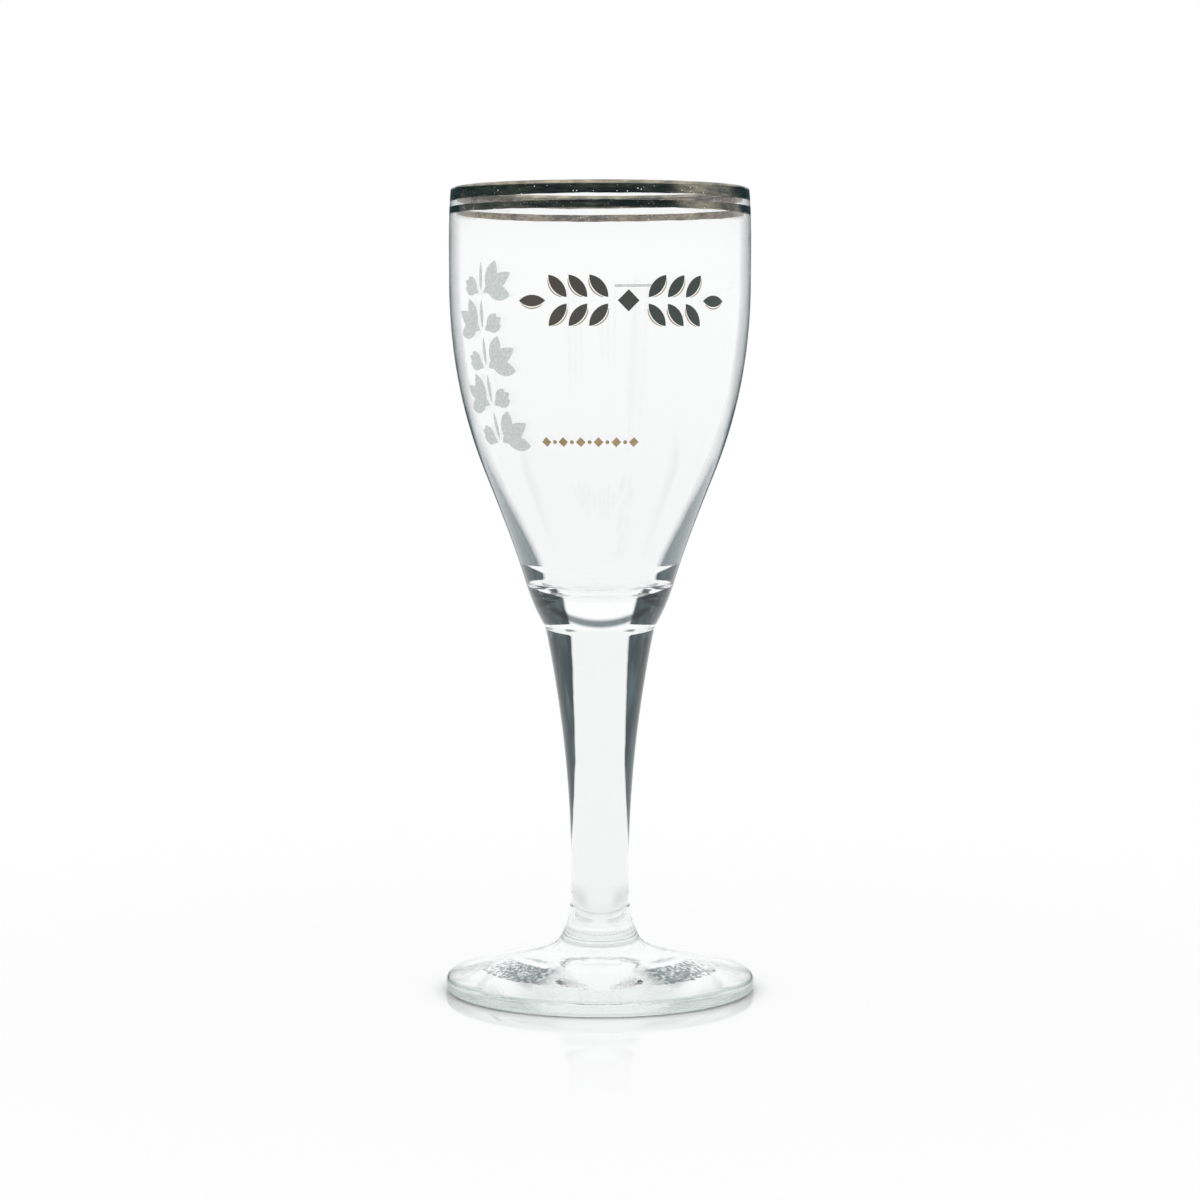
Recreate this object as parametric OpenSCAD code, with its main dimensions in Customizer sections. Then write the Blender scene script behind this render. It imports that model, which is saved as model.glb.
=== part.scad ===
// Tulip beer glass: a blown bowl, a drawn stem and a pressed foot, fused together,
// with gold lines at the lip and fired prints on the bowl. Sizes in millimetres.
// The origin is the centre of the foot, on the surface that the glass stands on.

/* [Whole glass] */
// Height from the table to the top of the lip
glass_height = 202; // [184:0.5:240]
// Height of the seam where the bowl is fused to the stem
bowl_seam_height = 92.3; // [82:0.1:102]
// Height of the seam where the stem is fused to the foot
foot_seam_height = 17.8; // [16:0.1:21]

/* [Bowl outside] */
// Diameter where the bowl is widest
widest_d = 75.5; // [68:0.1:85]
// How far the lip draws in from the widest place, on each side
lip_inset = 0.45; // [0:0.05:2]
// Distance of the widest place below the top of the lip
widest_drop = 22.9; // [15:0.1:32]
// Inward lean at the lip, in mm per mm of height
lip_lean = 0.09; // [0:0.01:0.15]
// Diameter on the flank, where the bowl draws in fastest
flank_d = 57.8; // [50:0.1:66]
// Height of that place above the bowl's seam
flank_rise = 38.9; // [32:0.1:49]
// Slope of the flank, in mm outwards per mm of height
flank_slope = 0.4; // [0.3:0.01:0.5]
// Diameter of the shoulder above the solid base
shoulder_d = 37.1; // [33:0.1:42]
// Height of the shoulder above the bowl's seam
shoulder_rise = 10.8; // [9:0.1:16]
// Slope at the shoulder, in mm outwards per mm of height
shoulder_slope = 0.3; // [0.2:0.01:0.45]
// Slope of the bowl where it meets its seam
base_slope = 0.6; // [0.3:0.01:0.8]

/* [Bowl inside] */
// Wall thickness at the lip
lip_wall = 1.7; // [1.3:0.05:2.5]
// Wall thickness where the wall runs into the floor
floor_wall = 3; // [2.2:0.1:4.2]
// Solid glass between the seam and the lowest point of the inside
base_thickness = 7.4; // [5.5:0.1:14]
// Rise of the rounded floor from its lowest point to the wall
floor_rise = 5; // [3.2:0.1:8.5]
// Fullness of the rounded floor: larger is flatter with a tighter corner
floor_fullness = 0.74; // [0.4:0.01:0.85]

/* [Stem] */
// Diameter at the bowl's seam
bowl_seam_d = 27.7; // [23.5:0.1:32]
// Slope below the bowl's seam, in mm outwards per mm of height
stem_slope = 0.205; // [0.1:0.005:0.3]
// Diameter where the stem is narrowest
waist_d = 14.6; // [12:0.1:18]
// Height of the narrowest place
waist_height = 29.8; // [25:0.1:38]
// Diameter at the foot's seam
foot_seam_d = 16.8; // [14.8:0.1:21]
// Flare at the foot's seam, in mm outwards per mm downwards
seam_flare = 0.28; // [0.1:0.01:0.5]

/* [Foot] */
// Diameter of the foot
foot_d = 78.2; // [70:0.1:90]
// Diameter where the flared collar ends and the disc begins
collar_d = 29.6; // [25.5:0.1:36]
// Height of the disc's top at the end of the collar
collar_height = 10.05; // [8.5:0.05:12.5]
// Thickness of the disc at its edge
edge_thickness = 3.9; // [2.8:0.05:5.2]
// Radius of the upper rounding of the edge
edge_round = 1.5; // [0.6:0.05:1.8]
// Radius of the lower rounding of the edge
heel_round = 1.2; // [0.4:0.05:1.7]
// Width of the flat ring that the glass stands on
ring_width = 3.2; // [2:0.1:6]
// Depth of the hollow under the foot, at its centre
hollow_depth = 0.5; // [0.2:0.05:3]

/* [Gold] */
// Height of the gold band on the outside of the lip
band_height = 3.15; // [2:0.05:5]
// How far the gold band runs down inside, below the lip's rounding
band_inside = 0.4; // [0.2:0.1:2]
// Clear gap between the gold band and the gold line
line_gap = 1.65; // [0.4:0.05:3]
// Height of the gold line
line_height = 1.75; // [1:0.05:3]
// Clearance between the glass and the gold and enamel layers on it
layer_gap = 0.05; // [0.02:0.01:0.08]
// Thickness of the gold layer
gold_thickness = 0.05; // [0.03:0.01:0.1]

/* [Prints] */
// Thickness of the enamel layers
enamel_thickness = 0.06; // [0.03:0.01:0.1]
// Distance of the middle of the front print below the top of the lip
front_drop = 28.7; // [17:0.1:38]
// Turn of the front print to the right of the front, in degrees
front_turn = 10.5; // [-20:0.5:30]
// Length of one grain of the front print
grain_length = 7; // [4.2:0.1:8]
// Width of one grain
grain_width = 2.8; // [1.4:0.1:3]
// Distance between neighbouring grains of an ear
grain_pitch = 5; // [4.3:0.1:6.4]
// Tilt of the grains away from the ear's middle, in degrees
grain_tilt = 50; // [36:1:56]
// Distance of a grain's tip from the ear's middle line
grain_foot = 1; // [0.75:0.05:1.6]
// Pairs of grains on each ear
grain_pairs = 3; // [2:1:4]
// Distance from the middle of the print to the first grains
ear_start = 4.3; // [4.1:0.1:6.4]
// Width of the lozenge that both ears grow from
knot_width = 5.3; // [3.2:0.1:6]
// Width of the gold drop lines beside the dark print
drop_line = 0.3; // [0.2:0.02:0.4]
// Clear gap between the dark print and its gold drop lines
drop_gap = 0.3; // [0.2:0.05:0.4]
// Distance of the middle of the small gold print below the top of the lip
small_drop = 62.7; // [49:0.1:68]
// Clear distance between the leaves of the side print and the small gold print
small_gap = 3.5; // [1:0.1:8]
// Width of one lozenge of the small gold print
lozenge = 2.4; // [1.5:0.1:3.2]
// Distance between the lozenges
lozenge_pitch = 4.3; // [3.6:0.1:5.3]
// Number of lozenges in the row
lozenges = 6; // [3:1:8]
// Distance of the twig's tip below the top of the lip
side_drop = 18; // [10:0.5:21]
// Turn of the side print to the right of the front, in degrees
side_turn = -50; // [-70:1:-40]
// Tiers of leaves on the twig
tiers = 5; // [3:1:5]
// Distance between the tiers
tier_pitch = 9.1; // [8.5:0.1:10]
// Length of a leaf's middle lobe
leaf_length = 10; // [7.5:0.1:10.6]
// Width of a lobe
leaf_width = 3.8; // [2.6:0.1:4.4]
// Length of a cone
cone_length = 6.4; // [4.2:0.1:7.4]
// Width of a cone's scales
cone_width = 2.8; // [1.7:0.1:3.2]
// Lean of the leaves and cones away from the twig, in degrees
leaf_lean = 62; // [56:1:70]
// Spread of a leaf's side lobes, in degrees
lobe_spread = 40; // [34:1:48]
// Spread of a cone's outer scales, in degrees
scale_spread = 20; // [16:1:26]
// Width of the twig
twig_width = 1.1; // [0.6:0.1:1.5]
// Distance of the capacity mark below the top of the lip
fill_drop = 23.5; // [12:0.1:32]
// Length of the capacity mark
fill_length = 10.5; // [6:0.5:20]
// Height of the capacity mark
fill_stroke = 0.7; // [0.4:0.05:1.2]
// Turn of the capacity mark from the front, in degrees
fill_turn = 166; // [140:1:220]

/* [Hidden] */
$fn = 160;
curve_steps = 12;
corner_steps = 8;
// Length of a sprout's side grains, and how far up they fork, as shares of its own length
side_share = 0.75;
fork_share = 0.15;
// A drop line starts and ends short of its grain's tips, as shares of the grain
drop_start = 0.12;
drop_share = 0.8;
// Pull of the collar's curve towards its two ends
collar_pull = 0.45;
// A motif's flat sheet reaches this far inside and outside the wall
sheet_inwards = 0.7 * leaf_length;
sheet_outwards = 0.5 * leaf_length;

lip_r = widest_d / 2 - lip_inset;
lip_round = lip_wall / 2;
lip_centre_height = glass_height - lip_round;
widest_height = glass_height - widest_drop;
flank_height = bowl_seam_height + flank_rise;
shoulder_height = bowl_seam_height + shoulder_rise;
bowl_seam_r = bowl_seam_d / 2;
foot_seam_r = foot_seam_d / 2;
waist_r = waist_d / 2;
floor_height = bowl_seam_height + base_thickness;
floor_edge_height = floor_height + floor_rise;
front_height = glass_height - front_drop;
small_height = glass_height - small_drop;
small_reach = (lozenges - 1) / 2 * lozenge_pitch + lozenge / 2;
leaf_reach = (twig_width + leaf_length) * sin(leaf_lean);
twig_foot_height = glass_height - side_drop - tiers * tier_pitch;
foot_r = foot_d / 2;
ring_outer_r = foot_r - heel_round;
ring_inner_r = ring_outer_r - ring_width;

// Curves

// Even steps from a to b, without a itself
function steps_after(a, b, count) = [for (i = [1 : count]) a + (b - a) * i / count];

// Radius at height z on a smooth stretch that has the given radius and slope at both ends
function stretch(z, low, low_r, low_slope, high, high_r, high_slope) =
    let (rise = high - low, t = (z - low) / rise)
    low_r * (2 * t^3 - 3 * t^2 + 1) + rise * low_slope * (t^3 - 2 * t^2 + t)
    + high_r * (3 * t^2 - 2 * t^3) + rise * high_slope * (t^3 - t^2);

// Points of a cubic curve after its start, from its end points and their handles
function curve_after(start, handle, far_handle, end) = [
    for (t = steps_after(0, 1, curve_steps))
        (1 - t)^3 * start + 3 * (1 - t)^2 * t * handle + 3 * (1 - t) * t^2 * far_handle + t^3 * end];

// Points on an arc, in degrees from the outward direction
function arc(centre, radius, from, to) = [
    for (a = concat([from], steps_after(from, to, corner_steps)))
        centre + radius * [cos(a), sin(a)]];

// Height and radius along the outside of the bowl, from its seam to the lip's rounding
bowl_outside = concat(
    [[bowl_seam_height, bowl_seam_r]],
    [for (z = steps_after(bowl_seam_height, shoulder_height, curve_steps))
        [z, stretch(z, bowl_seam_height, bowl_seam_r, base_slope,
            shoulder_height, shoulder_d / 2, shoulder_slope)]],
    [for (z = steps_after(shoulder_height, flank_height, curve_steps))
        [z, stretch(z, shoulder_height, shoulder_d / 2, shoulder_slope,
            flank_height, flank_d / 2, flank_slope)]],
    [for (z = steps_after(flank_height, widest_height, 2 * curve_steps))
        [z, stretch(z, flank_height, flank_d / 2, flank_slope, widest_height, widest_d / 2, 0)]],
    [for (z = steps_after(widest_height, lip_centre_height, curve_steps))
        [z, stretch(z, widest_height, widest_d / 2, 0, lip_centre_height, lip_r, -lip_lean)]]);

function outside_r(z) = lookup(z, bowl_outside);

// The wall keeps the lip's thickness down to the widest place, then thickens to the floor
function wall(z) = lookup(z, [[floor_edge_height, floor_wall], [widest_height, lip_wall]]);

// Heights from low up to below high at which the outside changes its slope
function heights_below(low, high) = concat(
    [low], [for (p = bowl_outside) if (p[0] > low && p[0] < high) p[0]]);

function reversed(list) = [for (i = [len(list) - 1 : -1 : 0]) list[i]];

// Glass

module glass() {
    color([0.85, 0.91, 0.91, 0.5]) children();
}

module bowl() {
    lip_centre = [lip_r - lip_round, lip_centre_height];
    floor_edge = [outside_r(floor_edge_height) - floor_wall, floor_edge_height];
    floor_centre = [0, floor_height];
    outer_wall = [for (z = heights_below(bowl_seam_height, lip_centre_height)) [outside_r(z), z]];
    inner_wall = [for (z = reversed(heights_below(floor_edge_height, lip_centre_height)))
        [outside_r(z) - wall(z), z]];
    corner_handle = floor_edge - floor_fullness * floor_rise * [shoulder_slope, 1];
    centre_handle = floor_centre + floor_fullness * [floor_edge[0], 0];
    glass() rotate_extrude()
        polygon(concat(
            [[0, bowl_seam_height]],
            outer_wall,
            arc(lip_centre, lip_round, 0, 180),
            inner_wall,
            curve_after(floor_edge, corner_handle, centre_handle, floor_centre)));
}

module stem() {
    flare = [for (z = steps_after(foot_seam_height, waist_height, curve_steps))
        [stretch(z, foot_seam_height, foot_seam_r, -seam_flare, waist_height, waist_r, 0), z]];
    taper = [for (z = steps_after(waist_height, bowl_seam_height, 2 * curve_steps))
        [stretch(z, waist_height, waist_r, 0, bowl_seam_height, bowl_seam_r, stem_slope), z]];
    glass() rotate_extrude()
        polygon(concat(
            [[0, foot_seam_height], [foot_seam_r, foot_seam_height]],
            flare,
            taper,
            [[0, bowl_seam_height]]));
}

module foot() {
    seam = [foot_seam_r, foot_seam_height];
    collar = [collar_d / 2, collar_height];
    edge_corner = [foot_r - edge_round, edge_thickness - edge_round];
    disc_run = edge_corner + [0, edge_round] - collar;
    handle = collar_pull * norm(collar - seam);
    seam_way = [seam_flare, -1] / norm([seam_flare, 1]);
    disc_way = disc_run / norm(disc_run);
    // the rounding starts where the sloping top meets it squarely
    top_angle = 90 + atan2(disc_run[1], disc_run[0]);
    heel = [foot_r - heel_round, heel_round];
    hollow = [for (r = steps_after(ring_inner_r, 0, curve_steps))
        [r, hollow_depth * (1 - (r / ring_inner_r)^2)]];
    glass() rotate_extrude()
        polygon(concat(
            [[0, foot_seam_height], seam],
            curve_after(seam, seam + handle * seam_way, collar - handle * disc_way, collar),
            arc(edge_corner, edge_round, top_angle, 0),
            arc(heel, heel_round, 0, -90),
            [[ring_inner_r, 0]],
            hollow));
}

// Gold

module gold() {
    color([0.55, 0.43, 0.24]) children();
}

// A thin layer on the outside of the bowl, all the way round
module outside_layer(low, high, thickness) {
    heights = concat(heights_below(low, high), [high]);
    rotate_extrude()
        polygon(concat(
            [for (z = heights) [outside_r(z) + layer_gap, z]],
            [for (z = reversed(heights)) [outside_r(z) + layer_gap + thickness, z]]));
}

// The band covers the outside of the lip, its rounding and the first of the inside
module lip_gold_band() {
    low = glass_height - band_height;
    inner_low = lip_centre_height - band_inside;
    lip_centre = [lip_r - lip_round, lip_centre_height];
    outer_heights = heights_below(low, lip_centre_height);
    inner_heights = reversed(heights_below(inner_low, lip_centre_height));
    // the lip's own outline, grown by a distance
    function grown(by) = concat(
        [for (z = outer_heights) [outside_r(z) + by, z]],
        arc(lip_centre, lip_round + by, 0, 180),
        [for (z = inner_heights) [outside_r(z) - wall(z) - by, z]]);
    gold() rotate_extrude()
        polygon(concat(grown(layer_gap), reversed(grown(layer_gap + gold_thickness))));
}

module lower_gold_line() {
    high = glass_height - band_height - line_gap;
    gold() outside_layer(high - line_height, high, gold_thickness);
}

// Prints

// Stands a flat motif upright and pushes it through the wall, turned to the right of the front
module through_wall(turn, height) {
    rotate([0, 0, turn])
        translate([0, sheet_inwards - outside_r(height), height])
            rotate([90, 0, 0])
                linear_extrude(sheet_inwards + sheet_outwards)
                    children();
}

// Degrees of turn for a length along the outside at a height
function turn_for(length, height) = length / outside_r(height) * 180 / PI;

// Keeps what a motif covers of the thin layer between two heights
module printed(low, high) {
    intersection() {
        outside_layer(low, high, enamel_thickness);
        union() children();
    }
}

// A pointed grain or leaf from two arcs, standing on its tip
module grain(length, width) {
    radius = (length^2 + width^2) / (4 * width);
    centre_x = radius - width / 2;
    translate([0, length / 2])
        intersection() {
            translate([centre_x, 0]) circle(radius);
            translate([-centre_x, 0]) circle(radius);
        }
}

// The thin line along one side of a grain, short of its tips
module grain_drop(length, width) {
    shift = drop_gap + drop_line;
    intersection() {
        difference() {
            grain(length, width + 2 * shift);
            grain(length, width + 2 * drop_gap);
        }
        translate([0, drop_start * length]) square([width, drop_share * length]);
    }
}

// Where each grain of the two ears grows: distance from the middle, and tilt from upright
grain_places = concat(
    [for (side = [-1, 1], pair = [0 : grain_pairs - 1], row = [-1, 1])
        [side * (ear_start + pair * grain_pitch), side * (90 - row * grain_tilt)]],
    [for (side = [-1, 1]) [side * (ear_start + grain_pairs * grain_pitch), side * 90]]);
front_reach = grain_foot + grain_length;

// The motif is drawn for the right-hand ear and mirrored for the left one
module on_front() {
    for (place = grain_places)
        through_wall(front_turn + turn_for(place[0], front_height), front_height)
            rotate(-place[1])
                mirror([place[0] < 0 ? 1 : 0, 0])
                    translate([0, grain_foot]) children();
}

module front_enamel() {
    color([0.16, 0.13, 0.11]) printed(front_height - front_reach, front_height + front_reach) {
        on_front() grain(grain_length, grain_width);
        through_wall(front_turn, front_height)
            rotate(45) square(knot_width / sqrt(2), center = true);
    }
}

module front_gilding() {
    gold() printed(front_height - front_reach, front_height + front_reach)
        on_front() grain_drop(grain_length, grain_width);
}

module small_gilding() {
    small_turn = side_turn + turn_for(leaf_reach + small_gap + small_reach, small_height);
    gold() printed(small_height - lozenge, small_height + lozenge)
        for (i = [0 : lozenges - 1]) {
            along = (i - (lozenges - 1) / 2) * lozenge_pitch;
            through_wall(small_turn + turn_for(along, small_height), small_height)
                rotate(45) square(lozenge / sqrt(2), center = true);
            if (i < lozenges - 1)
                through_wall(small_turn + turn_for(along + lozenge_pitch / 2, small_height), small_height)
                    circle(lozenge / 5);
        }
}

// A climbing twig: each tier has a leaf of three lobes on one side and a cone on the other
module side_frost_print() {
    top = twig_foot_height + tiers * tier_pitch;
    color([0.82, 0.85, 0.84]) printed(twig_foot_height - leaf_width, top)
        for (tier = [0 : tiers - 1]) {
            leaf_side = tier % 2 == 0 ? 1 : -1;
            through_wall(side_turn, twig_foot_height + tier * tier_pitch) {
                beside_twig(leaf_side) sprout(leaf_length, leaf_width, lobe_spread);
                beside_twig(-leaf_side) sprout(cone_length, cone_width, scale_spread);
                translate([0, twig_width]) grain(tier_pitch - 2 * twig_width, twig_width);
            }
        }
}

module beside_twig(side) {
    rotate(-side * leaf_lean) translate([0, twig_width]) children();
}

// A middle grain with a smaller one forking off to each side
module sprout(length, width, spread) {
    grain(length, width);
    for (turn = [-spread, spread])
        translate([0, fork_share * length]) rotate(turn) grain(side_share * length, width);
}

module fill_line() {
    height = glass_height - fill_drop;
    half_turn = turn_for(fill_length, height) / 2;
    color([0.8, 0.83, 0.83]) intersection() {
        outside_layer(height - fill_stroke, height, enamel_thickness);
        rotate([0, 0, fill_turn - half_turn - 90])
            rotate_extrude(angle = 2 * half_turn)
                translate([0, height - 2 * fill_stroke]) square([widest_d, 3 * fill_stroke]);
    }
}

bowl();
stem();
foot();
lip_gold_band();
lower_gold_line();
front_enamel();
front_gilding();
small_gilding();
side_frost_print();
fill_line();
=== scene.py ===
import math

import bmesh
import bpy
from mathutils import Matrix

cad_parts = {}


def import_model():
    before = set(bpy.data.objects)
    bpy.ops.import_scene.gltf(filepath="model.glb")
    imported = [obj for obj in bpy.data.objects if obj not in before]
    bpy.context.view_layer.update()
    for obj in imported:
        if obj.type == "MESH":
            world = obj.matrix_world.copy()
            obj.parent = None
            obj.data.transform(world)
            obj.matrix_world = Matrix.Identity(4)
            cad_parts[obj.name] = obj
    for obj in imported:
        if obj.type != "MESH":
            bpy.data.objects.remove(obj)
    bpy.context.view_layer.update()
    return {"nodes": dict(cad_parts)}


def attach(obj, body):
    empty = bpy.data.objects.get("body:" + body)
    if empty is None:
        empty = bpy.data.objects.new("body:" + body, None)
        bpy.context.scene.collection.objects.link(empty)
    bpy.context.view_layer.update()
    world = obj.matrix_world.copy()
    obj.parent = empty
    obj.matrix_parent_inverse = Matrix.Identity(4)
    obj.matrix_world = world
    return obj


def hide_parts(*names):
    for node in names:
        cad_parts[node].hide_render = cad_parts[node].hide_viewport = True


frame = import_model()

# Foot: the round disc that the glass stands on, pressed from clear soda-lime glass in a mould.
# Its top flares up to a collar, where the stem is fused on. It is hollowed underneath, so that
# it rests on a narrow ring.
mm = 0.001
foot_r = 39.1
edge_thickness = 3.9
edge_round = 1.5
heel_round = 1.2
ring_width = 3.2
ring_inner_r = foot_r - heel_round - ring_width
hollow_depth = 0.5
collar_r = 14.8
collar_z = 10.05
collar_pull = 0.45
foot_seam_r = 8.4
foot_seam_z = 17.8
seam_flare = 0.28
glass_ior = 1.51
patch_side = (0.38, 0.72)
patch_view = (0.40, 0.24)
patch_grain = (0.2, 0.5)
patch_fineness = 4
upright = (0, 0, 1)
white = (1, 1, 1, 1)
black = (0, 0, 0, 1)


def evenly(start, end, count):
    """Count steps after start, up to end."""
    return [start + (end - start) * step / count for step in range(1, count + 1)]


def arc(centre, radius, start, end, count=10):
    """Points on an arc, in degrees from the outward direction."""
    turns = [math.radians(turn) for turn in [start] + evenly(start, end, count)]
    return [(centre[0] + radius * math.cos(t), centre[1] + radius * math.sin(t)) for t in turns]


def curve(start, handle, far_handle, end, count=24):
    """Points of a cubic curve after its start."""
    corners = (start, handle, far_handle, end)
    points = []
    for t in evenly(0, 1, count):
        weights = ((1 - t) ** 3, 3 * (1 - t) ** 2 * t, 3 * (1 - t) * t * t, t ** 3)
        points.append(tuple(sum(w * p[axis] for w, p in zip(weights, corners)) for axis in (0, 1)))
    return points


def along(point, way, distance):
    """The point at a distance from another, in a direction of any length."""
    length = math.hypot(*way)
    return (point[0] + way[0] / length * distance, point[1] + way[1] / length * distance)


def made_of(name, shape, materials):
    """An object from a finished shape; the edges of its flat faces stay crisp."""
    for edge in shape.edges:
        edge.smooth = all(face.smooth for face in edge.link_faces)
    mesh = bpy.data.meshes.new(name)
    shape.to_mesh(mesh)
    shape.free()
    for material in materials:
        mesh.materials.append(material)
    body = bpy.data.objects.new(name, mesh)
    bpy.context.collection.objects.link(body)
    return body


def lathe(name, parts, around=192):
    """A closed body turned from (outline, material) parts in mm. Together the outlines run from the
    axis round the outside and back to the axis; level ends stay flat."""
    outline = [point for points, material in parts for point in points]
    finish = [material for points, material in parts for point in points]
    materials = []
    for material in finish:
        if material not in materials:
            materials.append(material)
    shape = bmesh.new()
    turns = [2 * math.pi * step / around for step in range(around)]
    rings = []
    for radius, height in outline:
        spots = turns if radius > 0 else turns[:1]
        rings.append([shape.verts.new((radius * math.cos(t) * mm, radius * math.sin(t) * mm, height * mm))
                      for t in spots])
    for i, (low, high) in enumerate(zip(rings, rings[1:])):
        for step in range(around):
            corners = [low[step % len(low)], low[(step + 1) % len(low)],
                       high[(step + 1) % len(high)], high[step % len(high)]]
            face = shape.faces.new(list(dict.fromkeys(corners)))
            face.smooth = outline[i][1] != outline[i + 1][1]
            face.material_index = materials.index(finish[i + 1])
    return made_of(name, shape, materials)


def new_material(name):
    """An empty node material and its output node."""
    material = bpy.data.materials.new(name)
    material.use_nodes = True
    tree = material.node_tree
    tree.nodes.clear()
    return material, tree, tree.nodes.new("ShaderNodeOutputMaterial")


def add(tree, kind, inputs=None, **settings):
    """A node with its settings and inputs; an input is a value or another node's output."""
    made = tree.nodes.new(kind)
    for setting, value in settings.items():
        setattr(made, setting, value)
    for socket, value in (inputs or {}).items():
        if isinstance(value, bpy.types.NodeSocket):
            tree.links.new(value, made.inputs[socket])
        else:
            made.inputs[socket].default_value = value
    return made


def reckon(tree, operation, *values):
    """One sum on numbers or other nodes' outputs."""
    return add(tree, "ShaderNodeMath", dict(enumerate(values)), operation=operation).outputs[0]


def reckon_way(tree, operation, *values):
    """One sum on directions, colours or other nodes' outputs."""
    return add(tree, "ShaderNodeVectorMath", dict(enumerate(values)), operation=operation).outputs[0]


def noise(tree, place, scale, detail, roughness=0.5):
    """An uneven pattern between 0 and 1; its scale is in waves to the metre."""
    return add(tree, "ShaderNodeTexNoise",
               {"Vector": place, "Scale": scale, "Detail": detail, "Roughness": roughness}).outputs["Fac"]


def span(tree, value, start, end, **settings):
    """How far a value has come from start to end, between 0 and 1."""
    return add(tree, "ShaderNodeMapRange", {"Value": value, "From Min": start, "From Max": end},
               **settings).outputs["Result"]


def grey(share):
    """A grey of the given lightness."""
    return (share, share, share, 1)


def shades(tree, share, stops):
    """A colour that follows a share between 0 and 1 through (place, colour) stops."""
    band = add(tree, "ShaderNodeValToRGB", {"Fac": share})
    stripes = band.color_ramp.elements
    while len(stripes) < len(stops):
        stripes.new(1.0)
    for stripe, (place, colour) in zip(stripes, stops):
        stripe.position = place
        stripe.color = colour
    return band.outputs["Color"]


def blend(tree, share, first, second):
    """A colour between two; each is a colour or another node's output."""
    made = add(tree, "ShaderNodeMix", data_type="RGBA")
    for index, value in ((0, share), (6, first), (7, second)):
        if isinstance(value, bpy.types.NodeSocket):
            tree.links.new(value, made.inputs[index])
        else:
            made.inputs[index].default_value = value
    return made.outputs[2]


def by_height(tree, place, stops):
    """A colour that follows the height through (mm, colour) stops."""
    top = max(height for height, colour in stops)
    up = add(tree, "ShaderNodeSeparateXYZ", {"Vector": place}).outputs["Z"]
    level = reckon(tree, "MULTIPLY", up, 1 / (top * mm))
    return shades(tree, level, [(height / top, colour) for height, colour in stops])


def seen_along(tree, way):
    """How far the view runs along a direction: 0 across it, 1 along it."""
    facing = add(tree, "ShaderNodeLayerWeight", {"Blend": 0.5, "Normal": way}).outputs["Facing"]
    return reckon(tree, "SUBTRACT", 1.0, facing)


def round_way(tree, place):
    """The level direction round the axis at a place."""
    return reckon_way(tree, "NORMALIZE", reckon_way(tree, "CROSS_PRODUCT", upright, place))


def side_share(tree, place):
    """How far out to the side of the view a place lies: 0 in the middle, 1 at the outline."""
    return seen_along(tree, round_way(tree, place))


def leaning(tree, place, out, up):
    """A direction that leans outwards from the axis."""
    outwards = reckon_way(tree, "CROSS_PRODUCT", round_way(tree, place), upright)
    return reckon_way(tree, "MULTIPLY_ADD", outwards, (out, out, 0), (0, 0, up))


def in_patches(tree, place, shade, ripple_size):
    """Keeps a shade to grainy patches on both sides of the view, which fade when seen from above."""
    from_above = seen_along(tree, add(tree, "ShaderNodeCombineXYZ", {"Z": 1.0}).outputs["Vector"])
    grain = noise(tree, place, patch_fineness / (ripple_size * mm), detail=2.0)
    limits = ((side_share(tree, place), patch_side), (from_above, patch_view), (grain, patch_grain))
    for value, (none, full) in limits:
        shade = reckon(tree, "MULTIPLY", shade, span(tree, value, none, full))
    return shade


def painted_flank_shade(tree, place, clear, dark, flanks, ripple, ripple_size, width=1.2, soft=0.04, lean=None):
    """Thick glass turns the view at its flanks away from the lit backdrop, so they look dark. That dark is
    painted shade in the glass colour, set by how far a flank is turned from the view.
    flanks gives, at heights in mm, the share of the radius at which that starts, or more than 1 for
    nowhere; ripple shifts it. The dark stretch has a width and soft edges, as shares of the radius.
    dark is a colour, or makes one for a place. With a lean, (out, up), it keeps to patches on a slope."""
    start = by_height(tree, place, [(height, grey(share)) for height, share in flanks])
    uneven = noise(tree, place, 1 / (ripple_size * mm), detail=3.0)
    start = reckon(tree, "MULTIPLY_ADD", uneven, ripple, start)
    start = reckon(tree, "SUBTRACT", start, ripple / 2)
    end = reckon(tree, "ADD", start, width)
    share = seen_along(tree, leaning(tree, place, *lean)) if lean else side_share(tree, place)
    shade = span(tree, share, start, end)
    if lean:
        shade = in_patches(tree, place, shade, ripple_size)
    edge = soft / width
    shade = shades(tree, shade, [(0.0, black), (edge, white), (1 - edge, white), (1.0, black)])
    return blend(tree, shade, clear, dark(tree, place) if callable(dark) else dark)


def clear_glass(name, dimple_size, dimple_depth, clear=white, shine=0.5, **flank):
    """Clear glass, whose surface has shallow dimples of a size and depth in mm. Its faint tint is one colour
    or (height, colour) stops, and at the flanks it may carry painted shade for the dark seen through it."""
    material, tree, output = new_material(name)
    place = add(tree, "ShaderNodeTexCoord").outputs["Object"]
    colour = by_height(tree, place, clear) if isinstance(clear, list) else clear
    # Painted shade at the flanks, in the base colour.
    if flank:
        colour = painted_flank_shade(tree, place, colour, **flank)
    dimples = noise(tree, place, 1 / (dimple_size * mm), detail=2.0)
    skin = add(tree, "ShaderNodeBump", {"Height": dimples, "Strength": 1.0, "Distance": dimple_depth * mm})
    glass = add(tree, "ShaderNodeBsdfPrincipled",
                {"Base Color": colour, "Roughness": 0.0, "IOR": glass_ior, "Transmission Weight": 1.0,
                 "Specular IOR Level": shine, "Normal": skin.outputs["Normal"]})
    tree.links.new(glass.outputs["BSDF"], output.inputs["Surface"])
    return material


def fused_seam():
    """The inside of a fused seam, where nothing shows."""
    material, tree, output = new_material("fused_seam")
    nothing = add(tree, "ShaderNodeBsdfTransparent")
    tree.links.new(nothing.outputs["BSDF"], output.inputs["Surface"])
    return material


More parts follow.
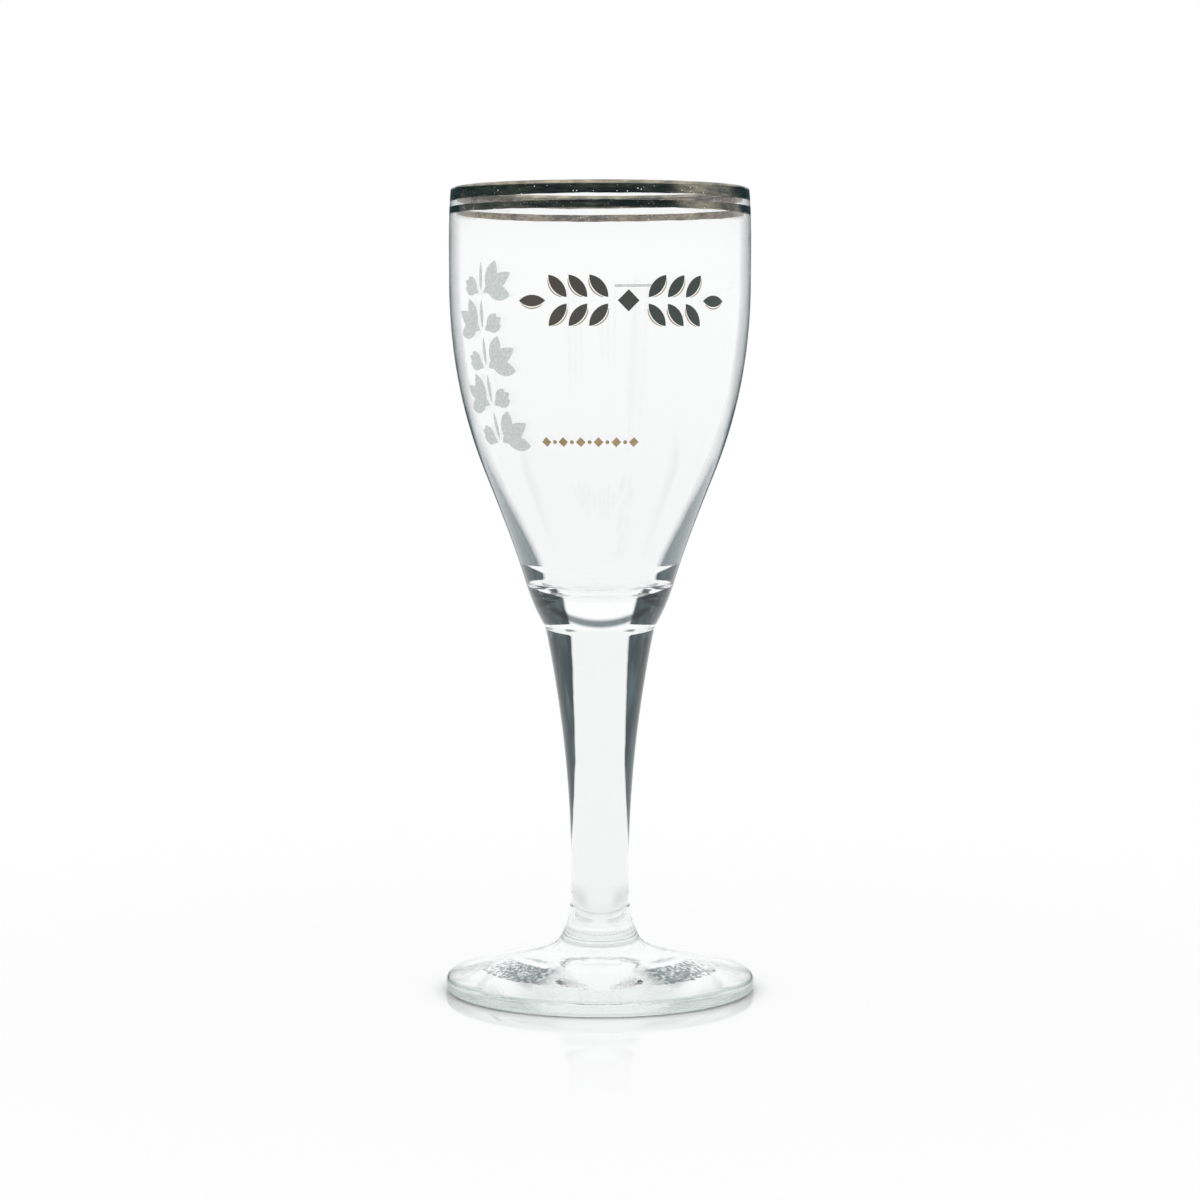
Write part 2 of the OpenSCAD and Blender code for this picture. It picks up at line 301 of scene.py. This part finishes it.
def foot_outline():
    """The hollow underside from the axis outwards, then the heel and edge, then the top and collar."""
    radii = [0] + evenly(0, ring_inner_r, count=20)
    hollow = [(r, hollow_depth * (1 - (r / ring_inner_r) ** 2)) for r in radii]
    seam = (foot_seam_r, foot_seam_z)
    collar = (collar_r, collar_z)
    edge_centre = (foot_r - edge_round, edge_thickness - edge_round)
    disc_run = (edge_centre[0] - collar_r, edge_thickness - collar_z)
    slope = math.degrees(math.atan2(disc_run[1], disc_run[0]))
    heel = arc((foot_r - heel_round, heel_round), heel_round, -90, 0)
    edge = arc(edge_centre, edge_round, 0, 90 + slope)
    pull = collar_pull * math.dist(collar, seam)
    flare = curve(collar, along(collar, disc_run, -pull), along(seam, (seam_flare, -1), pull), seam)
    return hollow, heel + edge, [collar] + flare


foot_hollow, foot_edge, foot_top = foot_outline()
moulded_glass = clear_glass("moulded_glass", dimple_size=1.4, dimple_depth=0.04)
edge_glass = clear_glass("edge_glass", dimple_size=3.0, dimple_depth=0.01, clear=(0.75, 0.82, 0.79, 1))
# Its top carries painted reflection: grainy dark patches on both sides of the view, where dark surroundings
# show through the foot.
pressed_glass = clear_glass(
    "pressed_glass", dimple_size=3.0, dimple_depth=0.01, clear=(0.97, 0.985, 0.98, 1),
    dark=(0.014, 0.034, 0.038, 1), ripple=0.75, ripple_size=1.1, width=0.24, soft=0.096, lean=(0.3, 0.95),
    flanks=[(0, 1.4), (4.8, 1.4), (5.9, 0.23), (8.0, 0.23), (9.2, 1.4), (18, 1.4)])
seam_face = fused_seam()
foot = lathe("glass_foot", [(foot_hollow, moulded_glass), (foot_edge, edge_glass),
                            (foot_top, pressed_glass), ([(0, foot_seam_z)], seam_face)])
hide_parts("foot")
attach(foot, "root")

# Stem: a solid rod of clear glass, drawn from the bowl's base while it is soft. It tapers to a
# waist above the foot and flares again where the foot is pressed on to it.
waist_r = 7.3
waist_z = 29.8
bowl_seam_r = 13.85
bowl_seam_z = 92.3
stem_slope = 0.205
# Painted shade for the flanks of the stem and base, with lighter streaks painted as glints.
painted_flank_dark = (0.0008, 0.0024, 0.0030, 1)
painted_streak_glint = (0.007, 0.017, 0.020, 1)
streak_size = 2.2
streak_stretch = 0.12
streak_start = 0.48
streak_full = 0.75


def stretch(height, low, high):
    """Radius on a smooth stretch between two (height, radius, slope) stations."""
    rise = high[0] - low[0]
    t = (height - low[0]) / rise
    return (low[1] * (2 * t ** 3 - 3 * t ** 2 + 1) + rise * low[2] * (t ** 3 - 2 * t ** 2 + t)
            + high[1] * (3 * t ** 2 - 2 * t ** 3) + rise * high[2] * (t ** 3 - t ** 2))


def turned(stations, count):
    """Outline points through a row of stations, with count steps between neighbours."""
    points = [(stations[0][1], stations[0][0])]
    for low, high in zip(stations, stations[1:]):
        points += [(stretch(z, low, high), z) for z in evenly(low[0], high[0], count)]
    return points


def streaked_painted_shade(tree, place):
    """The painted shade of a solid flank, with faint upright streaks of painted glint."""
    drawn_out = add(tree, "ShaderNodeMapping", {"Vector": place, "Scale": (1.0, 1.0, streak_stretch)})
    streaks = noise(tree, drawn_out.outputs["Vector"], 1 / (streak_size * mm), detail=3.0)
    return shades(tree, streaks, [(streak_start, painted_flank_dark), (streak_full, painted_streak_glint)])


# The stem's flanks carry painted shade with painted glint streaks, thicker towards the bowl.
drawn_glass = clear_glass(
    "drawn_glass", dimple_size=9.0, dimple_depth=0.01, clear=(0.90, 0.915, 0.91, 1), shine=0.08,
    dark=streaked_painted_shade, ripple=0.03, ripple_size=4.0,
    flanks=[(33, 1.0), (40, 0.91), (48, 0.81), (58, 0.69), (69, 0.62), (75, 0.59), (83, 0.54),
            (90.8, 0.51), (91.5, 0.97), (92.3, 0.97)])
stem_stations = [(foot_seam_z, foot_seam_r, -seam_flare), (waist_z, waist_r, 0),
                 (bowl_seam_z, bowl_seam_r, stem_slope)]
stem_outside = turned(stem_stations, count=40)
stem = lathe("glass_stem", [([(0, foot_seam_z), stem_outside[0]], seam_face),
                            (stem_outside[1:], drawn_glass), ([(0, bowl_seam_z)], seam_face)])
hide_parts("stem")
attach(stem, "root")

# Bowl: blown into a mould from clear glass, with a thick solid base and a thin wall. Its lip is
# melted round in a flame, and the fired layers lie bedded in its outer surface.
glass_height = 202.0
lip_wall = 1.7
lip_inset = 0.45
lip_lean = 0.09
lip_z = glass_height - lip_wall / 2
widest_r = 37.75
widest_drop = 22.9
widest_z = glass_height - widest_drop
flank_r = 28.9
flank_z = 131.2
flank_slope = 0.4
shoulder_r = 18.55
shoulder_z = 103.1
shoulder_slope = 0.3
base_slope = 0.6
base_thickness = 7.4
base_end = 108.2
floor_wall = 3.0
floor_z = bowl_seam_z + base_thickness
floor_rise = 5.0
floor_fullness = 0.74
film_bed = 0.07
bowl_stations = [
    (bowl_seam_z, bowl_seam_r, base_slope), (shoulder_z, shoulder_r, shoulder_slope),
    (flank_z, flank_r, flank_slope), (widest_z, widest_r, 0), (lip_z, widest_r - lip_inset, -lip_lean)]
# Painted shade for the wall's flanks by height, and a darker painted line at its outline.
painted_wall_dark = [(108, (0.045, 0.065, 0.070, 1)), (122, (0.055, 0.078, 0.083, 1)),
             (140, (0.12, 0.16, 0.17, 1)), (202, (0.15, 0.195, 0.205, 1))]
painted_outline_dark = (0.003, 0.006, 0.007, 1)
outline_start = 0.972
outline_full = 0.99


def bowl_r(height):
    """Radius of the bowl's outside at a height."""
    for low, high in zip(bowl_stations, bowl_stations[1:]):
        if height <= high[0]:
            return stretch(height, low, high)
    return bowl_stations[-1][1]


def wall(height):
    """The wall thickens from the widest place down to the floor."""
    edge = floor_z + floor_rise
    share = min(1, max(0, (height - edge) / (widest_z - edge)))
    return floor_wall + (lip_wall - floor_wall) * share


def bowl_outline():
    """The outside up to the middle of the lip, then the inside down to the middle of the floor."""
    outside = [(r + film_bed, z) for r, z in turned(bowl_stations, count=28)]
    lip_centre = (bowl_r(lip_z) - lip_wall / 2 + film_bed / 2, lip_z)
    half_lip = 8
    lip = arc(lip_centre, (lip_wall + film_bed) / 2, 0, 180, count=2 * half_lip)
    edge_z = floor_z + floor_rise
    floor_edge = (bowl_r(edge_z) - floor_wall, edge_z)
    inside = [(bowl_r(z) - wall(z), z) for z in evenly(lip_z, edge_z, count=84)]
    corner = (floor_edge[0] - floor_fullness * floor_rise * shoulder_slope,
              floor_edge[1] - floor_fullness * floor_rise)
    floor = curve(floor_edge, corner, (floor_fullness * floor_edge[0], floor_z), (0, floor_z))
    return outside[:-1] + lip[:half_lip + 1], lip[half_lip + 1:] + inside + floor


def painted_wall_shade(tree, place):
    """Painted shade for the wall's flanks, by height, with a darker painted line along the outline."""
    outermost = span(tree, side_share(tree, place), outline_start, outline_full)
    return blend(tree, outermost, by_height(tree, place, painted_wall_dark), painted_outline_dark)


bowl_outside, bowl_inside = bowl_outline()
# The base's flanks carry painted shade with painted glint streaks.
base_glass = clear_glass(
    "base_glass", dimple_size=14.0, dimple_depth=0.008, clear=(0.99, 0.993, 0.992, 1), shine=0.08,
    dark=streaked_painted_shade, ripple=0.05, ripple_size=6.0,
    flanks=[(91, 0.97), (93, 0.97), (93.6, 0.48), (100.5, 0.50), (101.5, 0.74), (102.6, 0.95),
            (104.2, 0.90), (104.8, 0.70), (106.4, 0.70), (108.2, 0.90), (109, 0.90)])
# The wall's flanks carry painted shade by height, with a darker painted line along the outline.
blown_glass = clear_glass(
    "blown_glass", dimple_size=14.0, dimple_depth=0.008, clear=(0.975, 0.98, 0.978, 1), shine=0.3,
    dark=painted_wall_shade, ripple=0.03, ripple_size=6.0, soft=0.085,
    flanks=[(108, 0.68), (112, 0.71), (118, 0.77), (126, 0.83), (136, 0.88), (151, 0.91),
            (176, 0.925), (202, 0.93)])
# The inside is painted greyer towards the bottom, as shade seen through the lower bowl.
inner_glass = clear_glass(
    "inner_glass", dimple_size=14.0, dimple_depth=0.008,
    clear=[(99, (0.92, 0.94, 0.935, 1)), (125, (0.935, 0.95, 0.945, 1)),
           (185, (0.99, 0.993, 0.992, 1)), (202, (0.99, 0.993, 0.992, 1))])
wall_start = next(i for i, (r, z) in enumerate(bowl_outside) if z > base_end)
bowl = lathe("glass_bowl", [([(0, bowl_seam_z), bowl_outside[0]], seam_face),
                            (bowl_outside[1:wall_start], base_glass),
                            (bowl_outside[wall_start:], blown_glass), (bowl_inside, inner_glass)])
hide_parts("bowl")
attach(bowl, "root")

# Gold at the lip: liquid gold brushed on by hand on a turning wheel and fired to a thin mirror.
# A band covers the lip and a thinner line runs below it. Both are uneven, with pinholes and wear,
# and seen through the glass their underside is a dull brown.
band_height = 3.15
band_inside = 0.4
line_gap = 1.65
line_height = 1.75
line_wander = 0.6
gold_lift = 0.05
gold_thickness = 0.05
wheel_tilt = 0.10
wheel_sway = 0.05
hand_tremors = ((0.03, 8, 3), (0.03, 17, 5), (0.02, 41, 7))
brush_scale = 1800.0
cover_scale = 110.0
thin_cover = 0.42
full_cover = 0.62
roughness_range = 0.12
relief_strength = 0.2
relief_depth = 0.02
pinhole_cell = 0.8
pinhole_r = 0.17


def unsteady(turn, hand):
    """Wander of a brushed edge round the glass, in mm; hand shifts the pattern. A tremor has a depth,
    a number of waves round the glass and a shift."""
    from_front = turn + math.pi / 2
    tilt = wheel_tilt * math.sin(from_front if hand % 2 else -from_front)
    sway = wheel_sway * math.sin(3 * from_front)
    tremor = sum(depth * math.sin(waves * turn + shift * hand) for depth, waves, shift in hand_tremors)
    return tilt + sway + tremor


def brushed_ring(name, path, face, underside, around=360):
    """A closed thin layer on the bowl. path gives, for a turn, points in mm with outward normals."""
    shape = bmesh.new()
    rows = []
    for step in range(around):
        turn = 2 * math.pi * step / around
        way = (math.cos(turn), math.sin(turn))
        pair = []
        for lift in (gold_lift + gold_thickness, gold_lift):
            spots = [(r + nr * lift, z + nz * lift) for r, z, nr, nz in path(turn)]
            pair.append([shape.verts.new((r * way[0] * mm, r * way[1] * mm, z * mm)) for r, z in spots])
        rows.append(pair)
    for (top, under), (next_top, next_under) in zip(rows, rows[1:] + rows[:1]):
        last = len(top) - 1
        for i in range(last):
            shape.faces.new((top[i], next_top[i], next_top[i + 1], top[i + 1])).smooth = True
            below = shape.faces.new((under[i], under[i + 1], next_under[i + 1], next_under[i]))
            below.smooth = True
            below.material_index = 1
        shape.faces.new((top[0], under[0], next_under[0], next_top[0]))
        shape.faces.new((top[last], next_top[last], next_under[last], under[last]))
    return made_of(name, shape, [face, underside])


def pinholes(tree, place, share):
    """1 where the fired gold has a pinhole: a round spot in a share of the cells of a fine pattern."""
    cells = add(tree, "ShaderNodeTexVoronoi",
                {"Vector": place, "Scale": 1 / (pinhole_cell * mm), "Randomness": 1.0})
    spot = reckon(tree, "LESS_THAN", cells.outputs["Distance"], pinhole_r)
    pick = add(tree, "ShaderNodeSeparateColor", {"Color": cells.outputs["Color"]})
    chosen = reckon(tree, "LESS_THAN", pick.outputs["Red"], share)
    return reckon(tree, "MULTIPLY", spot, chosen)


def fired_gold(name, light, dark, metallic, roughness, streak, worn):
    """Brushed-on gold that varies between two colours. Its marks are longer round the glass by a
    streak below 1, and a worn share of its cells has a pinhole."""
    material, tree, output = new_material(name)
    place = add(tree, "ShaderNodeTexCoord").outputs["Object"]
    round_glass = add(tree, "ShaderNodeMapping", {"Vector": place, "Scale": (streak, streak, 1.0)})
    marks = noise(tree, round_glass.outputs["Vector"], brush_scale, detail=4.0, roughness=0.7)
    cover = reckon(tree, "ADD", marks, noise(tree, place, cover_scale, detail=2.0))
    cover = reckon(tree, "MULTIPLY", cover, 0.5)
    colour = shades(tree, cover, [(thin_cover, dark), (full_cover, light)])
    rough = add(tree, "ShaderNodeMapRange",
                {"Value": marks, "To Min": roughness, "To Max": roughness + roughness_range})
    relief = add(tree, "ShaderNodeBump",
                 {"Height": marks, "Strength": relief_strength, "Distance": relief_depth * mm})
    gold = add(tree, "ShaderNodeBsdfPrincipled",
               {"Base Color": colour, "Metallic": metallic, "Roughness": rough.outputs["Result"],
                "Normal": relief.outputs["Normal"]})
    bare = add(tree, "ShaderNodeBsdfTransparent")
    layer = add(tree, "ShaderNodeMixShader",
                {0: pinholes(tree, place, worn), 1: gold.outputs["BSDF"], 2: bare.outputs["BSDF"]})
    tree.links.new(layer.outputs["Shader"], output.inputs["Surface"])
    return material


def band_path(turn):
    """Up the outside from the brushed lower edge, over the lip and a little way down the inside."""
    low = glass_height - band_height + unsteady(turn, hand=1)
    outside = [(bowl_r(z), z, 1, 0) for z in [low] + evenly(low, lip_z, count=5)]
    centre = bowl_r(lip_z) - lip_wall / 2
    over = [(r, z, (r - centre) / (lip_wall / 2), (z - lip_z) / (lip_wall / 2))
            for r, z in arc((centre, lip_z), lip_wall / 2, 0, 180, count=12)[1:]]
    end = lip_z - band_inside + unsteady(turn, hand=2)
    return outside + over + [(bowl_r(end) - lip_wall, end, -1, 0)]


def line_path(turn):
    """Up the outside between the two brushed edges of the line."""
    high = glass_height - band_height - line_gap + line_wander * unsteady(turn, hand=3)
    low = high - line_height + unsteady(turn, hand=4)
    return [(bowl_r(z), z, 1, 0) for z in [low] + evenly(low, high, count=3)]


# The face's dark teal-grey is partly painted reflection of a dark room, and its light patches partly painted
# glints; the rest is uneven brushing and wear.
gold_face = fired_gold("gold_face", light=(0.55, 0.49, 0.38, 1), dark=(0.14, 0.15, 0.14, 1),
                       metallic=1.0, roughness=0.05, streak=0.15, worn=0.6)
gold_underside = fired_gold("gold_underside", light=(0.72, 0.60, 0.46, 1), dark=(0.13, 0.105, 0.085, 1),
                            metallic=0.4, roughness=0.35, streak=0.3, worn=0.6)
band = brushed_ring("lip_band", band_path, gold_face, gold_underside)
line = brushed_ring("gold_line", line_path, gold_face, gold_underside)
for piece, node in ((band, "lip_gold_band"), (line, "lower_gold_line")):
    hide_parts(node)
    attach(piece, "root")

# Front prints: two barley ears screen-printed in dark enamel with thin gold lines beside the grains,
# and a row of gold lozenges below. They are transfers, fired into the outside of the bowl.
enamel_brown = (0.075, 0.055, 0.042, 1)
enamel_green = (0.035, 0.05, 0.045, 1)
brown_end = -20
green_end = 30
enamel_grain = 900.0
grain_share = 0.5
brown_until = 0.15


def dark_enamel():
    """Near-black enamel with a fine grain. Its shift from brownish at its left end to greenish at its right
    is painted reflection of the surroundings.
    """
    material, tree, output = new_material("dark_enamel")
    place = add(tree, "ShaderNodeTexCoord").outputs["Object"]
    across = add(tree, "ShaderNodeSeparateXYZ", {"Vector": place}).outputs["X"]
    shift = span(tree, across, brown_end * mm, green_end * mm)
    grain = noise(tree, place, enamel_grain, detail=3.0)
    mottle = reckon(tree, "MULTIPLY_ADD", grain, grain_share, shift)
    colour = shades(tree, mottle, [(brown_until, enamel_brown), (1.0, enamel_green)])
    enamel = add(tree, "ShaderNodeBsdfPrincipled", {"Base Color": colour, "Roughness": 0.3})
    tree.links.new(enamel.outputs["BSDF"], output.inputs["Surface"])
    return material


def paint(node, material):
    """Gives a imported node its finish."""
    mesh = frame["nodes"][node].data
    mesh.materials.clear()
    mesh.materials.append(material)


paint("front_enamel", dark_enamel())
print_gold = fired_gold("print_gold", light=(0.50, 0.39, 0.22, 1), dark=(0.30, 0.22, 0.12, 1),
                        metallic=0.6, roughness=0.3, streak=0.5, worn=0.1)
paint("front_gilding", print_gold)
paint("small_gilding", print_gold)

# Side print and capacity mark: pale frosted enamel, thin enough to let light through. The side
# print is a climbing twig with leaves and cones, and the mark at the back is a short line.
frost_dark = (0.64, 0.69, 0.68, 1)
frost_light = (0.78, 0.82, 0.81, 1)
frost_grain = 1400.0
grain_low = 0.3
grain_high = 0.7
cover_range = 0.1


def frost_enamel(name, cover):
    """Frosted enamel in fine dots; cover is the share of the glass that it hides."""
    material, tree, output = new_material(name)
    place = add(tree, "ShaderNodeTexCoord").outputs["Object"]
    dots = noise(tree, place, frost_grain, detail=3.0)
    colour = shades(tree, dots, [(grain_low, frost_dark), (grain_high, frost_light)])
    thickness = add(tree, "ShaderNodeMapRange",
                    {"Value": dots, "From Min": grain_low, "From Max": grain_high,
                     "To Min": cover - cover_range, "To Max": cover + cover_range})
    frost = add(tree, "ShaderNodeBsdfPrincipled", {"Base Color": colour, "Roughness": 0.7})
    clear = add(tree, "ShaderNodeBsdfTransparent")
    layer = add(tree, "ShaderNodeMixShader",
                {0: thickness.outputs["Result"], 1: clear.outputs["BSDF"], 2: frost.outputs["BSDF"]})
    tree.links.new(layer.outputs["Shader"], output.inputs["Surface"])
    return material


paint("side_frost_print", frost_enamel("frost_enamel", cover=0.6))
paint("fill_line", frost_enamel("mark_enamel", cover=0.35))

# Table: a round glossy white sheet that keeps the shadow and a faint mirror image of the glass. Its
# gloss, a painted contact shadow and painted light under the foot follow the distance from the axis, in
# mm. The painted shadow is darkest at the front, as if the light from behind threw it there.
sheet_r = 800
sheet_drop = 0.02
sheet_white = (0.88, 0.88, 0.885)
sheet_light = 0.19
sheet_polish = 0.01
sheet_gloss = [(0, 0.2), (37, 0.2), (38, 0.05), (39.6, 0.05), (41, 0.4), (70, 0.28), (140, 0)]
# A painted contact shadow ring round the foot, and painted light on the sheet under the foot.
painted_contact_shadow = [(0, 1), (36.6, 1), (37.4, 0.12), (39.7, 0.06), (40.3, 0.7), (41, 0.95), (44, 1)]
painted_light_under_foot = [(0, 0.3), (36.5, 0.3), (38.5, 0), (50, 0)]
painted_shadow_fade = 15


def white_sheet():
    """White card with a clear gloss; a little light of its own makes it as white as the backdrop."""
    material, tree, output = new_material("white_sheet")
    place = add(tree, "ShaderNodeTexCoord").outputs["Object"]
    from_axis = add(tree, "ShaderNodeVectorMath", {0: place}, operation="LENGTH").outputs["Value"]
    reach = reckon(tree, "DIVIDE", from_axis, sheet_r * mm)
    # The painted contact shadow (lit) and the painted light under the foot (under), by distance from the
    # axis.
    mirror, lit, under = [shades(tree, reach, [(r / sheet_r, grey(share)) for r, share in stops])
                          for stops in (sheet_gloss, painted_contact_shadow, painted_light_under_foot)]
    away = add(tree, "ShaderNodeSeparateXYZ", {"Vector": place}).outputs["Y"]
    # The painted shadow fades from the front to the back of the foot.
    lit = blend(tree, span(tree, away, -painted_shadow_fade * mm, painted_shadow_fade * mm), lit, white)
    path = add(tree, "ShaderNodeLightPath").outputs
    seen = reckon(tree, "SUBTRACT", 1.0, path["Is Diffuse Ray"])
    glow = reckon(tree, "MULTIPLY", seen, sheet_light)
    # Painted light: the sheet glows brighter under the foot where it is seen through the glass.
    glow = reckon(tree, "MULTIPLY_ADD", path["Is Transmission Ray"], under, glow)
    matt = add(tree, "ShaderNodeBsdfDiffuse", {"Color": reckon_way(tree, "MULTIPLY", lit, sheet_white)})
    light = add(tree, "ShaderNodeEmission", {"Color": lit, "Strength": glow})
    body = add(tree, "ShaderNodeAddShader", {0: matt.outputs["BSDF"], 1: light.outputs["Emission"]})
    gloss = add(tree, "ShaderNodeBsdfGlossy", {"Color": white, "Roughness": sheet_polish})
    sheet = add(tree, "ShaderNodeMixShader",
                {0: mirror, 1: body.outputs["Shader"], 2: gloss.outputs["BSDF"]})
    tree.links.new(sheet.outputs["Shader"], output.inputs["Surface"])
    return material


def round_sheet():
    """The sheet as a flat disc, a hair below the foot."""
    shape = bmesh.new()
    bmesh.ops.create_circle(shape, cap_ends=True, segments=96, radius=sheet_r * mm)
    sheet = made_of("table_sheet", shape, [white_sheet()])
    sheet.location.z = -sheet_drop * mm
    return sheet


round_sheet()

# Studio: a white backdrop and a soft box overhead, with a dim strip between them behind the glass.
# What shines mirrors a dark room instead, with a window behind, dark boards beside it and a soft box
# at the right.
room = (0.04, 0.075, 0.085, 1)
dim = (0.16, 0.20, 0.21, 1)
soft_light = 0.92
backdrop_top = (0.395, 0.435)
soft_box_foot = (0.46, 0.50)
strip_behind = (-0.2, 0.2)
room_foot = (0.0, 0.14)
room_top = (0.22, 0.45)
window_side = (0.2, 0.55)
board_inner = (0.10, 0.22)
board_outer = (0.68, 0.78)
board_foot = (-0.2, -0.1)
board_top = (0.1, 0.2)
side_box = (0.76, 1.0)
left_box = 0.02
right_box = 0.52


def studio_world():
    """White to the camera, even light on matt surfaces, and the studio through glass and in mirrors.
    up is the rise of a ray, from 0 for a level one to 1; sideways is 0 straight ahead and 1 at right
    angles to it. Pairs say where a fade starts and ends."""
    world = bpy.data.worlds.new("studio")
    world.use_nodes = True
    tree = world.node_tree
    tree.nodes.clear()
    output = tree.nodes.new("ShaderNodeOutputWorld")

    def work(operation, *values):
        """One sum on numbers or other sums."""
        return reckon(tree, operation, *values)

    def fade(value, ends):
        """0 before the first end and 1 after the second, smooth between."""
        return span(tree, value, *ends, interpolation_type="SMOOTHSTEP")

    def before(value, ends):
        """1 before the first end and 0 after the second, smooth between."""
        return work("SUBTRACT", 1.0, fade(value, ends))

    def between(value, rise, fall):
        """1 between a fade in and a fade out."""
        return work("SUBTRACT", fade(value, rise), fade(value, fall))

    place = add(tree, "ShaderNodeTexCoord").outputs["Generated"]
    x, y, up = add(tree, "ShaderNodeSeparateXYZ", {"Vector": place}).outputs
    level = work("SQRT", work("ADD", work("MULTIPLY", x, x), work("MULTIPLY", y, y)))
    sideways = work("DIVIDE", work("ABSOLUTE", x), level)
    behind = work("GREATER_THAN", y, 0.0)

    lit = work("MAXIMUM", before(up, backdrop_top), fade(up, soft_box_foot))
    lit = work("MAXIMUM", lit, before(y, strip_behind))
    through_glass = blend(tree, lit, dim, white)

    window = work("MULTIPLY", before(sideways, window_side), behind)
    box = work("MULTIPLY_ADD", work("GREATER_THAN", x, 0.0), right_box - left_box, left_box)
    side = work("MULTIPLY", fade(sideways, side_box), box)
    outside_room = work("SUBTRACT", 1.0, between(up, room_foot, room_top))
    bright = work("MAXIMUM", work("MAXIMUM", window, side), outside_room)
    board = work("MULTIPLY", between(sideways, board_inner, board_outer), between(up, board_foot, board_top))
    board = work("MULTIPLY", board, behind)
    in_gloss = blend(tree, work("MULTIPLY", bright, work("SUBTRACT", 1.0, board)), room, white)

    path = add(tree, "ShaderNodeLightPath").outputs
    colour = blend(tree, path["Is Glossy Ray"], grey(soft_light), in_gloss)
    colour = blend(tree, path["Is Transmission Ray"], colour, through_glass)
    colour = blend(tree, path["Is Camera Ray"], colour, white)
    shine = add(tree, "ShaderNodeBackground", {"Color": colour, "Strength": 1.0})
    tree.links.new(shine.outputs["Background"], output.inputs["Surface"])
    return world


bpy.context.scene.world = studio_world()

# Camera: stands level with the bowl and is pitched down a little, as in the photograph. Light needs
# many bounces to find its way through the solid glass of the foot.
camera_distance = 794.6
camera_height = 156.4
camera_pitch = 4.146
lens_length = 94.69
film_width = 36.0
bounces = 32
lens = bpy.data.cameras.new("camera")
lens.sensor_width = film_width
lens.lens = lens_length
camera = bpy.data.objects.new("camera", lens)
camera.location = (0, -camera_distance * mm, camera_height * mm)
camera.rotation_euler = (math.radians(90 - camera_pitch), 0, 0)
bpy.context.collection.objects.link(camera)
bpy.context.scene.camera = camera
bpy.context.scene.view_settings.view_transform = "Standard"
bpy.context.scene.cycles.max_bounces = bounces
bpy.context.scene.cycles.glossy_bounces = bounces
bpy.context.scene.cycles.transmission_bounces = bounces
